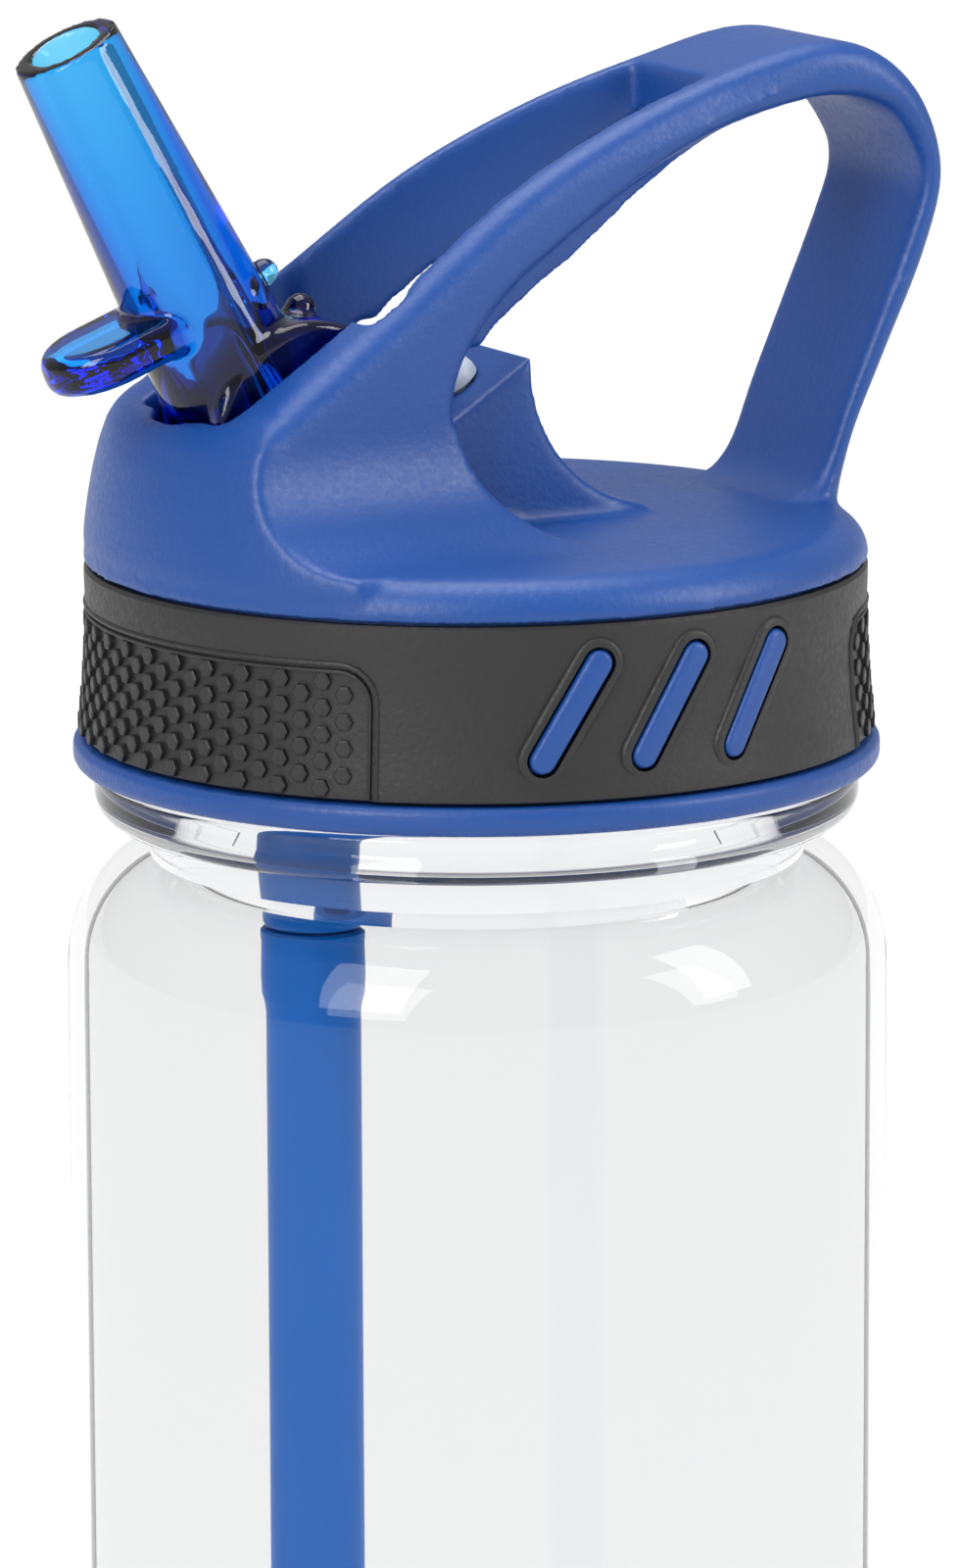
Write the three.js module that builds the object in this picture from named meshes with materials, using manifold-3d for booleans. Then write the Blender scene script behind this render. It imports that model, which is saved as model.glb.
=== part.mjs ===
// Sports drinking bottle: clear wide-mouth bottle, screw lid with a carrying loop, flip-up
// straw spout. Millimetres, +Z up. Origin at the centre of the base; the spout leans to -X.

import * as THREE from 'three';
import { mergeVertices } from 'three/addons/utils/BufferGeometryUtils.js';
import Module from 'manifold-3d';

const wasm = await Module();
wasm.setup();

// ---------------------------------------------------------------- driving dimensions

// clear bottle
const BODY_R = 43;
const BODY_WALL = 2.2;
const BASE_T = 3.2;
const BASE_CORNER = 3.5;
const SHOULDER_Z = 152.5;
const SHOULDER_RISE = 12;
const NECK_R = 34.3;
const NECK_BORE_R = 31.7;
const MOUTH_Z = 193.5;
const RING_R = 40;
const RING_BOTTOM_Z = 168.1;
const RING_TOP_Z = 173.5;

// screw thread: the bottle's bead and the lid's bead run half a pitch apart
const THREAD_PITCH = 5;
const THREAD_TURNS = 1.25;
const THREAD_BEAD_R = 1.35;
const NECK_BEAD_PATH_R = 34.75;
const NECK_BEAD_Z = 180.6;
const LID_BEAD_PATH_R = 36.45;
const LID_BEAD_Z = NECK_BEAD_Z - THREAD_PITCH / 2;

// lid: skirt, flange and top plate
const LID_BORE_R = 36.9;
const FLANGE_R = 42.15;
const FLANGE_BOTTOM_Z = 173.9;
const FLANGE_TOP_Z = 176.9;
const BAND_SEAT_R = 39.4;
const DOME_BOTTOM_Z = 195.4;
const DOME_R = 40.9;
const TOP_Z = 199.6;
const PLATE_UNDER_Z = 196.4;

// front of the lid and the two rails that carry the loop
const LIP_Z = 212.4;
const SCOOP_R = 12;
const RAIL_HALF_W = 11;
const RAIL_FLARE = 0.11;
const FLARE_START_X = 25;
const RAIL_FRONT_X = -45;
const CHANNEL_END_X = 23.3;
const CHANNEL_HALF_W = 7.4;
const POCKET_REAR_X = -14.5;
const POCKET_FRONT_X = -19;
const POCKET_HALF_W = 12.8;
const RAIL_LIP_T = 1.8;
const RAIL_LIP_DEPTH = 1.8;
const FILLER_REAR_X = -9.6;
const SOCKET_HALF_W = 9;

// block behind the spout that holds the vent valve
const BLOCK_HALF_W = 7.6;
const BLOCK_SLOPE = Math.tan(THREE.MathUtils.degToRad(33));
const BLOCK_TOP_X = 2.8;
const BLOCK_TOP_Z = 217;
const BLOCK_REAR_ARC = { x: 18.5, z: 216, r: 15.7 };
const VENT_X = -2.5;
const VENT_STEM_R = 1.8;
const VENT_CAP_R = 2.8;
const VENT_HOLE_R = 0.7;
const VENT_WELL_TOP_Z = 207;

// spout: tube, drum and trunnions turning about an axis along Y
const PIVOT_X = -22.5;
const PIVOT_Z = 211.5;
const DRUM_R = 11;
const DRUM_HALF_W = 7.6;
const TRUNNION_R = 3;
const TRUNNION_END_Y = 12.5;
const TUBE_LEAN = THREE.MathUtils.degToRad(27.8);
const TIP_X = -46.7;
const TIP_Z = 251.3;
const TUBE_TIP_R = 5.6;
const TUBE_BASE_R = 8.2;
const TUBE_BORE_R = 3.65;
const TUBE_LENGTH = 50;
const KNOB_LOW = { x: -20.3, z: 222.7, r: 1.7 };
const KNOB_HIGH = { x: -24.4, z: 226.8, r: 1.5 };
const TAB_HALF_W = 5.8;
const TAB_REACH = 13.5;
const TAB_ROOT = 9;
const TAB_T = 3.4;
const TAB_DROP = THREE.MathUtils.degToRad(21);
const TAB_X = -35.4;
const TAB_Z = 222.6;

// straw and its adapter
const STRAW_X = -19.4;
const STRAW_R = 4.95;
const STRAW_BORE_R = 4.15;
const STRAW_TOP_Z = 158;
const STRAW_END_Z = 8;
const ADAPTER_R = 5.15;
const SPIGOT_R = 3.85;
const SPIGOT_LENGTH = 12;
const ADAPTER_TOP_Z = 197.2;
const PORT_BORE_R = 3.1;
const BOSS_R = 7.4;
const BOSS_BOTTOM_Z = 186;

// rubber grip band and the ribs of the lid that show through it
const BAND_INNER_R = 39.7;
const BAND_BOTTOM_R = 41.5;
const BAND_WAIST_R = 40.6;
const BAND_TOP_R = 40.85;
const BAND_WAIST_Z = 188;
const RIB_WIDTH = 2.7;
const RIB_LENGTH = 11.3;
const RIB_MID_Z = 186.35;
const RIB_TILT = THREE.MathUtils.degToRad(31);
const RIB_STEP = THREE.MathUtils.degToRad(15);
const RIB_FACE_R = 41.5;

const GAP = 0.3;
const ROUND_SEGMENTS = 48;
const THREAD_STEPS_PER_TURN = 28;

// ---------------------------------------------------------------- shape helpers

function solid(geometry) {
  geometry.deleteAttribute('normal');
  geometry.deleteAttribute('uv');
  const merged = mergeVertices(geometry, 1e-4);
  const place = merged.attributes.position;
  const index = merged.index.array;
  const a = new THREE.Vector3();
  const b = new THREE.Vector3();
  const c = new THREE.Vector3();
  const faces = [];
  let volume = 0;
  for (let i = 0; i < index.length; i += 3) {
    const [p, q, r] = [index[i], index[i + 1], index[i + 2]];
    if (p === q || q === r || r === p) continue;
    faces.push(p, q, r);
    a.fromBufferAttribute(place, p);
    b.fromBufferAttribute(place, q);
    c.fromBufferAttribute(place, r);
    volume += a.dot(b.cross(c));
  }
  if (volume < 0) faces.reverse();
  const mesh = new wasm.Mesh({
    numProp: 3,
    vertProperties: new Float32Array(place.array),
    triVerts: new Uint32Array(faces),
  });
  return new wasm.Manifold(mesh);
}

function geometryOf(manifold) {
  const mesh = manifold.getMesh();
  const geometry = new THREE.BufferGeometry();
  geometry.setAttribute('position', new THREE.BufferAttribute(mesh.vertProperties, 3));
  geometry.setIndex(new THREE.BufferAttribute(mesh.triVerts, 1));
  return geometry;
}

function points2(pairs) {
  return pairs.map(([x, y]) => new THREE.Vector2(x, y));
}

// solid of revolution about Z from [radius, height] pairs
function turned(pairs, segments = ROUND_SEGMENTS) {
  const geometry = new THREE.LatheGeometry(points2(pairs), segments);
  geometry.rotateX(Math.PI / 2);
  return solid(geometry);
}

// closed ring profile: the outline is repeated at its end
function turnedRing(pairs, segments = ROUND_SEGMENTS) {
  return turned([...pairs, pairs[0]], segments);
}

// prism with an [x, z] outline, running along Y
function prismAlongY(outline, yLow, yHigh) {
  const shape = new THREE.Shape(points2(outline));
  const geometry = new THREE.ExtrudeGeometry(shape, { depth: yHigh - yLow, bevelEnabled: false });
  geometry.rotateX(Math.PI / 2);
  geometry.translate(0, yHigh, 0);
  return solid(geometry);
}

// prism with an [x, y] outline, running along Z
function prismAlongZ(outline, zLow, zHigh) {
  const shape = new THREE.Shape(points2(outline));
  const geometry = new THREE.ExtrudeGeometry(shape, { depth: zHigh - zLow, bevelEnabled: false });
  geometry.translate(0, 0, zLow);
  return solid(geometry);
}

function block([xLow, yLow, zLow], [xHigh, yHigh, zHigh]) {
  const geometry = new THREE.BoxGeometry(xHigh - xLow, yHigh - yLow, zHigh - zLow);
  geometry.translate((xLow + xHigh) / 2, (yLow + yHigh) / 2, (zLow + zHigh) / 2);
  return solid(geometry);
}

// cylinder along Y through [x, z]
function pin(x, z, radius, yLow, yHigh, segments = 36) {
  const geometry = new THREE.CylinderGeometry(radius, radius, yHigh - yLow, segments);
  geometry.translate(x, (yLow + yHigh) / 2, z);
  return solid(geometry);
}

// vertical cylinder at [x, 0]
function post(x, radius, zLow, zHigh, segments = 24) {
  const geometry = new THREE.CylinderGeometry(radius, radius, zHigh - zLow, segments);
  geometry.rotateX(Math.PI / 2);
  geometry.translate(x, 0, (zLow + zHigh) / 2);
  return solid(geometry);
}

function ball(x, z, radius) {
  const geometry = new THREE.SphereGeometry(radius, 10, 8);
  geometry.translate(x, 0, z);
  return solid(geometry);
}

// [x, y] points of an arc, angles in degrees
function arc(centreX, centreY, radius, fromDeg, toDeg, steps) {
  const list = [];
  for (let i = 0; i <= steps; i++) {
    const angle = THREE.MathUtils.degToRad(fromDeg + ((toDeg - fromDeg) * i) / steps);
    list.push([centreX + radius * Math.cos(angle), centreY + radius * Math.sin(angle)]);
  }
  return list;
}

// points along a smooth line through the given ones
function smooth(pairs, steps) {
  const curve = new THREE.SplineCurve(points2(pairs));
  return curve.getPoints(steps).map((point) => [point.x, point.y]);
}

function joined(list) {
  return list.reduce((sum, piece) => sum.add(piece));
}

class HelixCurve extends THREE.Curve {
  constructor(radius, startZ, pitch, turns) {
    super();
    Object.assign(this, { radius, startZ, pitch, turns });
  }

  getPoint(t, target = new THREE.Vector3()) {
    const angle = t * this.turns * 2 * Math.PI;
    const z = this.startZ + t * this.turns * this.pitch;
    return target.set(this.radius * Math.cos(angle), this.radius * Math.sin(angle), z);
  }
}

function threadBead(pathRadius, startZ) {
  const section = new THREE.Shape(points2(arc(0, 0, THREAD_BEAD_R, 0, 300, 5)));
  const path = new HelixCurve(pathRadius, startZ, THREAD_PITCH, THREAD_TURNS);
  const steps = Math.round(THREAD_STEPS_PER_TURN * THREAD_TURNS);
  return solid(new THREE.ExtrudeGeometry(section, { steps, extrudePath: path, bevelEnabled: false }));
}

// ---------------------------------------------------------------- bottle

function bottleBody() {
  const shoulderIn = BODY_R - NECK_R;
  const outerShoulder = [];
  const innerShoulder = [];
  const steps = 5;
  for (let i = 0; i <= steps; i++) {
    const turn = (i / steps) * (Math.PI / 2);
    outerShoulder.push([
      NECK_R + shoulderIn * Math.cos(turn),
      SHOULDER_Z + SHOULDER_RISE * Math.sin(turn),
    ]);
    innerShoulder.unshift([
      NECK_BORE_R + (BODY_R - BODY_WALL - NECK_BORE_R) * Math.cos(turn),
      SHOULDER_Z + (SHOULDER_RISE - BODY_WALL) * Math.sin(turn),
    ]);
  }
  const innerR = BODY_R - BODY_WALL;
  const profile = [
    [0, 0],
    [9, 0],
    [10, 0.8],
    [32, 0.8],
    [33, 0],
    ...arc(BODY_R - BASE_CORNER, BASE_CORNER, BASE_CORNER, -90, 0, 3),
    ...outerShoulder,
    [NECK_R, RING_BOTTOM_Z],
    [RING_R - 0.8, RING_BOTTOM_Z],
    [RING_R, RING_BOTTOM_Z + 0.8],
    [RING_R, RING_TOP_Z - 0.5],
    [RING_R - 0.5, RING_TOP_Z],
    [NECK_R, RING_TOP_Z],
    [NECK_R, MOUTH_Z - 0.5],
    [NECK_R - 0.5, MOUTH_Z],
    [NECK_BORE_R + 0.5, MOUTH_Z],
    [NECK_BORE_R, MOUTH_Z - 0.5],
    ...innerShoulder,
    ...arc(innerR - 5, BASE_T + 5, 5, 0, -90, 3),
    [0, BASE_T],
  ];
  return turned(profile).add(threadBead(NECK_BEAD_PATH_R, NECK_BEAD_Z));
}

// ---------------------------------------------------------------- lid

// skirt, flange, rim and top plate
function lidCup() {
  const rim = arc(DOME_R - 4, TOP_Z - 4, 4, 0, 90, 3);
  return turned([
    [0, PLATE_UNDER_Z],
    [LID_BORE_R, PLATE_UNDER_Z],
    [LID_BORE_R, FLANGE_BOTTOM_Z],
    [FLANGE_R - 1, FLANGE_BOTTOM_Z],
    [FLANGE_R, FLANGE_BOTTOM_Z + 1],
    [FLANGE_R, FLANGE_TOP_Z],
    [BAND_SEAT_R, FLANGE_TOP_Z],
    [BAND_SEAT_R, DOME_BOTTOM_Z],
    [DOME_R, DOME_BOTTOM_Z],
    ...rim,
    [0, TOP_Z],
  ]);
}

function railHalfWidth(x, atStart) {
  return atStart + RAIL_FLARE * Math.max(0, FLARE_START_X - x);
}

// outside line of the front lip, rails, strap and rear leg, in X and Z
function loopOutside() {
  const top = smooth(
    [
      [-37.5, LIP_Z],
      [-33.5, 213.4],
      [-27, 217.4],
      [-15.5, 225.2],
      [-2, 234.5],
      [12, 241.1],
      [26, 245.6],
      [36, 247.7],
      [43, 246.3],
      [48.4, 241.3],
      [50.9, 233.5],
      [48.8, 225],
      [44, 214.6],
      [40.4, 206.8],
      [38.6, 201],
    ],
    38,
  );
  return [[RAIL_FRONT_X, TOP_Z - 2], [RAIL_FRONT_X, LIP_Z], ...top, [38.2, TOP_Z - 2]];
}

// the hand opening under the strap, in X and Z
function loopInside() {
  return smooth(
    [
      [3, 199.3],
      [-2.6, 200.9],
      [-7.4, 205.4],
      [-9.7, 212],
      [-8.4, 218.2],
      [-3.6, 224.4],
      [4.5, 230],
      [14, 235.5],
      [24, 239.5],
      [35.5, 242],
      [43.2, 240.8],
      [47, 236.6],
      [48.2, 232.6],
      [46.4, 227],
      [42, 216.9],
      [38.8, 209.6],
      [36.4, 203.6],
      [33.8, 200.5],
      [30, 199.3],
    ],
    40,
  );
}

// plan outline with straight flared sides, in X and Y
function flaredPlan(halfWidth, xFront, xRear) {
  const front = railHalfWidth(xFront, halfWidth);
  const knee = Math.min(FLARE_START_X, xRear);
  const kneeHalf = railHalfWidth(knee, halfWidth);
  const rear = railHalfWidth(xRear, halfWidth);
  return [
    [xFront, -front],
    [knee, -kneeHalf],
    [xRear + 0.01, -rear],
    [xRear + 0.01, rear],
    [knee, kneeHalf],
    [xFront, front],
  ];
}

// inner half of each rail's thickness hangs lower than its outer half
function railLips() {
  const opening = prismAlongY(loopInside(), -20, 20);
  const under = opening.subtract(opening.translate([0, 0, -RAIL_LIP_DEPTH]));
  const outer = prismAlongZ(flaredPlan(CHANNEL_HALF_W + RAIL_LIP_T, FILLER_REAR_X, CHANNEL_END_X), 190, 260);
  const inner = prismAlongZ(flaredPlan(CHANNEL_HALF_W, FILLER_REAR_X - 1, CHANNEL_END_X + 1), 190, 260);
  const above = block([-20, -20, BLOCK_TOP_Z + 2], [CHANNEL_END_X, 20, 260]);
  return under.intersect(outer.subtract(inner)).intersect(above);
}

// round wall of the lid's front, which narrows a little towards the lip
function frontWall() {
  return turned([
    [0, TOP_Z - 3],
    [DOME_R, TOP_Z - 3],
    [40.6, 199.6],
    [40.1, 203],
    [39.5, 206.8],
    [38.8, 209.4],
    [37.8, 211.6],
    [36.2, 213.2],
    [34, 214.2],
    [34, 230],
    [0, 230],
  ]);
}

// hollow fillet between a rail's outer side and the lid's top
function scoop(side) {
  const hollow = arc(SCOOP_R, SCOOP_R, SCOOP_R, 270, 180, 8);
  const outline = [[-4, -2], [SCOOP_R, -2], ...hollow, [-4, SCOOP_R]];
  const shape = new THREE.Shape(points2(outline));
  const length = 58;
  const geometry = new THREE.ExtrudeGeometry(shape, { depth: length, bevelEnabled: false });
  const away = new THREE.Vector3(0, side, 0);
  const up = new THREE.Vector3(0, 0, 1);
  const along = new THREE.Vector3().crossVectors(away, up);
  const lean = new THREE.Matrix4().makeRotationZ(-side * Math.atan(RAIL_FLARE));
  geometry.applyMatrix4(new THREE.Matrix4().makeBasis(away, up, along));
  geometry.translate((-side * length) / 2, 0, 0);
  geometry.applyMatrix4(lean);
  const middleX = -18;
  geometry.translate(middleX, side * railHalfWidth(middleX, RAIL_HALF_W), TOP_Z);
  return solid(geometry);
}

function blockOutline(frontX) {
  const { x, z, r } = BLOCK_REAR_ARC;
  const frontZ = BLOCK_TOP_Z - (BLOCK_TOP_X - frontX) * BLOCK_SLOPE;
  return [
    [frontX, TOP_Z - 2],
    ...arc(x, z, r, 263, 180, 8),
    [BLOCK_TOP_X, BLOCK_TOP_Z],
    [frontX, frontZ],
  ];
}

// solid floor between the rails in front of the block
function fillerOutline() {
  const frontX = POCKET_FRONT_X + 1;
  const rearX = FILLER_REAR_X;
  const heightAt = (x) => BLOCK_TOP_Z - (BLOCK_TOP_X - x) * BLOCK_SLOPE;
  return [
    [frontX, TOP_Z - 2],
    [rearX, TOP_Z - 2],
    [rearX, heightAt(rearX)],
    [frontX, heightAt(frontX)],
  ];
}

// the opening from above: channel between the rails, wider pocket, round seat of the tube
function channelPlan() {
  const channelAt = (x) => CHANNEL_HALF_W + RAIL_FLARE * (CHANNEL_END_X - x);
  const nose = arc(PIVOT_X - 4.5, 0, SOCKET_HALF_W, -90, -270, 12);
  return [
    [CHANNEL_END_X, CHANNEL_HALF_W],
    [CHANNEL_END_X, -CHANNEL_HALF_W],
    [POCKET_REAR_X, -channelAt(POCKET_REAR_X)],
    [POCKET_REAR_X, -POCKET_HALF_W],
    [POCKET_FRONT_X, -POCKET_HALF_W],
    [POCKET_FRONT_X, -SOCKET_HALF_W],
    ...nose,
    [POCKET_FRONT_X, SOCKET_HALF_W],
    [POCKET_FRONT_X, POCKET_HALF_W],
    [POCKET_REAR_X, POCKET_HALF_W],
    [POCKET_REAR_X, channelAt(POCKET_REAR_X)],
  ];
}

// tube of the spout as a solid cone along its own leaning axis, from the tip downwards
function leaningCone(tipR, baseR, length, extraTip = 0) {
  const geometry = new THREE.CylinderGeometry(tipR, baseR, length + extraTip, 30);
  geometry.rotateX(Math.PI / 2);
  geometry.translate(0, 0, (extraTip - length) / 2);
  geometry.rotateY(-TUBE_LEAN);
  geometry.translate(TIP_X, 0, TIP_Z);
  return solid(geometry);
}

function pillPrism(azimuth, width, innerR, outerR) {
  const half = RIB_LENGTH / 2;
  const outline = [
    ...arc(0, half, width / 2, 0, 180, 6),
    ...arc(0, -half, width / 2, 180, 360, 6),
  ];
  const shape = new THREE.Shape(points2(outline));
  const geometry = new THREE.ExtrudeGeometry(shape, { depth: outerR - innerR, bevelEnabled: false });
  geometry.rotateZ(-RIB_TILT);
  const out = new THREE.Vector3(Math.cos(azimuth), Math.sin(azimuth), 0);
  const up = new THREE.Vector3(0, 0, 1);
  const right = new THREE.Vector3().crossVectors(up, out);
  geometry.applyMatrix4(new THREE.Matrix4().makeBasis(right, up, out));
  geometry.translate(innerR * out.x, innerR * out.y, RIB_MID_Z);
  return solid(geometry);
}

function ribAzimuths() {
  const list = [];
  for (const side of [-1, 1]) {
    for (const step of [-1, 0, 1]) {
      list.push((side * Math.PI) / 2 + step * RIB_STEP);
    }
  }
  return list;
}

function ventAxis() {
  const slope = Math.atan(BLOCK_SLOPE);
  const z = BLOCK_TOP_Z - (BLOCK_TOP_X - VENT_X) * BLOCK_SLOPE;
  return { x: VENT_X, z, lean: -slope };
}

// round part along the vent's axis, from [radius, height above the slope] pairs
function onVentAxis(pairs, segments = 18) {
  const geometry = new THREE.LatheGeometry(points2(pairs), segments);
  geometry.rotateX(Math.PI / 2);
  const { x, z, lean } = ventAxis();
  geometry.rotateY(lean);
  geometry.translate(x, 0, z);
  return solid(geometry);
}

function capShell() {
  const front = block([-60, -60, TOP_Z - 2.5], [-11, 60, 229]).subtract(frontWall());
  const wide = 40;
  let crown = prismAlongY(loopOutside(), -wide, wide);
  crown = crown.intersect(prismAlongZ(flaredPlan(RAIL_HALF_W, RAIL_FRONT_X, 60), 190, 260));
  crown = joined([crown, scoop(-1), scoop(1)]);
  crown = crown.subtract(front);
  crown = crown.subtract(prismAlongY(loopInside(), -wide, wide)).add(railLips());
  crown = crown.subtract(prismAlongZ(channelPlan(), TOP_Z + 0.6, 260));
  crown = crown.add(prismAlongY(blockOutline(POCKET_FRONT_X + 1), -BLOCK_HALF_W, BLOCK_HALF_W));
  crown = crown.add(prismAlongY(fillerOutline(), -POCKET_HALF_W - 0.4, POCKET_HALF_W + 0.4));
  const shell = joined([
    lidCup(),
    crown,
    post(STRAW_X, BOSS_R, BOSS_BOTTOM_Z, TOP_Z - 1),
    threadBead(LID_BEAD_PATH_R, LID_BEAD_Z),
    ...ribAzimuths().map((azimuth) => pillPrism(azimuth, RIB_WIDTH, LID_BORE_R + 1, RIB_FACE_R)),
  ]);
  const cuts = joined([
    pin(PIVOT_X, PIVOT_Z, DRUM_R + 0.5, -SOCKET_HALF_W, SOCKET_HALF_W, 36),
    pin(PIVOT_X, PIVOT_Z, DRUM_R + 2.7, -2.4, 2.4, 36).subtract(block([-60, -60, 190], [60, 60, 204])),
    pin(PIVOT_X, PIVOT_Z, TRUNNION_R + GAP, -TRUNNION_END_Y - 0.4, TRUNNION_END_Y + 0.4, 24),
    leaningCone(TUBE_TIP_R + 0.5, TUBE_BASE_R + 0.5, TUBE_LENGTH),
    post(STRAW_X, ADAPTER_R + GAP, BOSS_BOTTOM_Z - 2, PIVOT_Z - 5),
    block([-5, -5, PLATE_UNDER_Z - 2], [2, 5, VENT_WELL_TOP_Z]),
    onVentAxis([[0, -9], [VENT_STEM_R + GAP, -9], [VENT_STEM_R + GAP, 4], [0, 4]]),
  ]);
  return shell.subtract(cuts);
}

function gripBand() {
  const bottomZ = FLANGE_TOP_Z + GAP;
  const topZ = DOME_BOTTOM_Z - GAP;
  const ring = turnedRing([
    [BAND_INNER_R, bottomZ],
    [BAND_BOTTOM_R, bottomZ],
    [BAND_WAIST_R + 0.3, (bottomZ + BAND_WAIST_Z) / 2],
    [BAND_WAIST_R, BAND_WAIST_Z],
    [BAND_TOP_R, topZ],
    [BAND_INNER_R, topZ],
  ]);
  const windows = ribAzimuths().map((azimuth) =>
    pillPrism(azimuth, RIB_WIDTH + 2 * GAP, BAND_SEAT_R - 1.5, BAND_BOTTOM_R + 2),
  );
  return ring.subtract(joined(windows));
}

function capGasket() {
  return turnedRing([
    [NECK_BORE_R + 0.2, MOUTH_Z + GAP],
    [LID_BORE_R - 0.6, MOUTH_Z + GAP],
    [LID_BORE_R - 0.6, PLATE_UNDER_Z - GAP],
    [NECK_BORE_R + 0.2, PLATE_UNDER_Z - GAP],
  ]);
}

function ventValve() {
  return onVentAxis([
    [VENT_HOLE_R, 2.5],
    [VENT_CAP_R - 0.8, 2.2],
    [VENT_CAP_R, 1.2],
    [VENT_CAP_R + 0.1, GAP],
    [VENT_STEM_R, GAP],
    [VENT_STEM_R, -4.6],
    [VENT_HOLE_R, -5.6],
    [VENT_HOLE_R, 2.5],
  ]);
}

// ---------------------------------------------------------------- spout and straw

function spout() {
  const tube = leaningCone(TUBE_TIP_R, TUBE_BASE_R, TUBE_LENGTH - 3);
  const drum = pin(PIVOT_X, PIVOT_Z, DRUM_R, -DRUM_HALF_W, DRUM_HALF_W, 36);
  const trunnions = pin(PIVOT_X, PIVOT_Z, TRUNNION_R, -TRUNNION_END_Y, TRUNNION_END_Y, 24);
  const knobs = [KNOB_LOW, KNOB_HIGH].map(({ x, z, r }) => ball(x, z, r));
  const outside = joined([tube, drum, trunnions, thumbTab(), ...knobs]);
  return outside.subtract(leaningCone(TUBE_BORE_R, TUBE_BORE_R, TUBE_LENGTH + 16, 3));
}

// flat tongue with a round end, on the front of the tube
function thumbTab() {
  const outline = [
    [TAB_ROOT, -TAB_HALF_W],
    [TAB_ROOT, TAB_HALF_W],
    ...arc(TAB_HALF_W - TAB_REACH, 0, TAB_HALF_W, 90, 270, 10),
  ];
  const geometry = new THREE.ExtrudeGeometry(new THREE.Shape(points2(outline)), {
    depth: TAB_T,
    bevelEnabled: false,
  });
  geometry.translate(0, 0, -TAB_T / 2);
  geometry.rotateY(-TAB_DROP);
  geometry.translate(TAB_X, 0, TAB_Z);
  return solid(geometry);
}

function spoutSeal() {
  const z = ADAPTER_TOP_Z + GAP;
  const body = post(STRAW_X, ADAPTER_R, z, PIVOT_Z - DRUM_R + 2);
  const passage = post(STRAW_X, PORT_BORE_R, z - 2, PIVOT_Z);
  const drumSeat = pin(PIVOT_X, PIVOT_Z, DRUM_R + GAP, -20, 20, 36);
  return body.subtract(joined([passage, drumSeat]));
}

function strawAdapter() {
  const ring = turnedRing(
    [
      [PORT_BORE_R, STRAW_TOP_Z - SPIGOT_LENGTH],
      [SPIGOT_R - 0.3, STRAW_TOP_Z - SPIGOT_LENGTH],
      [SPIGOT_R, STRAW_TOP_Z - SPIGOT_LENGTH + 1],
      [SPIGOT_R, STRAW_TOP_Z + GAP],
      [ADAPTER_R, STRAW_TOP_Z + GAP],
      [ADAPTER_R, ADAPTER_TOP_Z],
      [PORT_BORE_R, ADAPTER_TOP_Z],
    ],
    24,
  );
  return ring.translate([STRAW_X, 0, 0]);
}

function straw() {
  const ring = turnedRing(
    [
      [STRAW_BORE_R, STRAW_END_Z],
      [STRAW_R, STRAW_END_Z],
      [STRAW_R, STRAW_TOP_Z - 8],
      [STRAW_R + 0.5, STRAW_TOP_Z - 5],
      [STRAW_R + 0.4, STRAW_TOP_Z],
      [STRAW_BORE_R, STRAW_TOP_Z],
    ],
    24,
  );
  return ring.translate([STRAW_X, 0, 0]);
}

// ---------------------------------------------------------------- scene graph

const clear = { color: 0xe8eef2, roughness: 0.05, metalness: 0 };
const blue = { color: 0x1f3f9c, roughness: 0.45, metalness: 0 };
const black = { color: 0x1c1d20, roughness: 0.6, metalness: 0 };
const cyanBlue = { color: 0x0a55c8, roughness: 0.08, metalness: 0 };
const strawBlue = { color: 0x0b4fc0, roughness: 0.35, metalness: 0 };
const silicone = { color: 0xdfe6ec, roughness: 0.4, metalness: 0 };

const bottle = new THREE.Group();

function addPiece(name, manifold, look) {
  const mesh = new THREE.Mesh(geometryOf(manifold), new THREE.MeshStandardMaterial(look));
  mesh.name = name;
  bottle.add(mesh);
}

addPiece('bottle_body', bottleBody(), clear);
addPiece('cap_gasket', capGasket(), silicone);
addPiece('cap_shell', capShell(), blue);
addPiece('grip_band', gripBand(), black);
addPiece('vent_valve', ventValve(), silicone);
addPiece('spout_seal', spoutSeal(), silicone);
addPiece('spout', spout(), cyanBlue);
addPiece('straw_adapter', strawAdapter(), cyanBlue);
addPiece('straw', straw(), strawBlue);

export default bottle;
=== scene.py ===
import math

import bpy
from mathutils import Matrix, Vector


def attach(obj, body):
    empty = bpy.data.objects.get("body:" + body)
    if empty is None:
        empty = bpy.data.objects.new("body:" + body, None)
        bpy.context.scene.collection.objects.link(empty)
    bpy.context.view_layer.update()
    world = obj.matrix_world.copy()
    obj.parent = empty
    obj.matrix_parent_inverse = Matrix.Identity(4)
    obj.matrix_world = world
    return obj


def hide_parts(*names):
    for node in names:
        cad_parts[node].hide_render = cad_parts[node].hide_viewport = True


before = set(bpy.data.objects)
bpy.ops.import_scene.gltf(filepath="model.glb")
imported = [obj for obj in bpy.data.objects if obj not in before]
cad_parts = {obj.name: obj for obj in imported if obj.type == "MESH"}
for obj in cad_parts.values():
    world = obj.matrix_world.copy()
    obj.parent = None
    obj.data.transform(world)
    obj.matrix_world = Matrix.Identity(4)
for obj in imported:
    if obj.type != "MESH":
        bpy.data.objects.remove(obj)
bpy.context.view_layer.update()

MM = 0.001
MERGE_DISTANCE = 0.000005
LID_VOXEL = 0.52
SPOUT_VOXEL = 0.42


# ------------------------------------------------------------------ sizes, in millimetres

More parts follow.
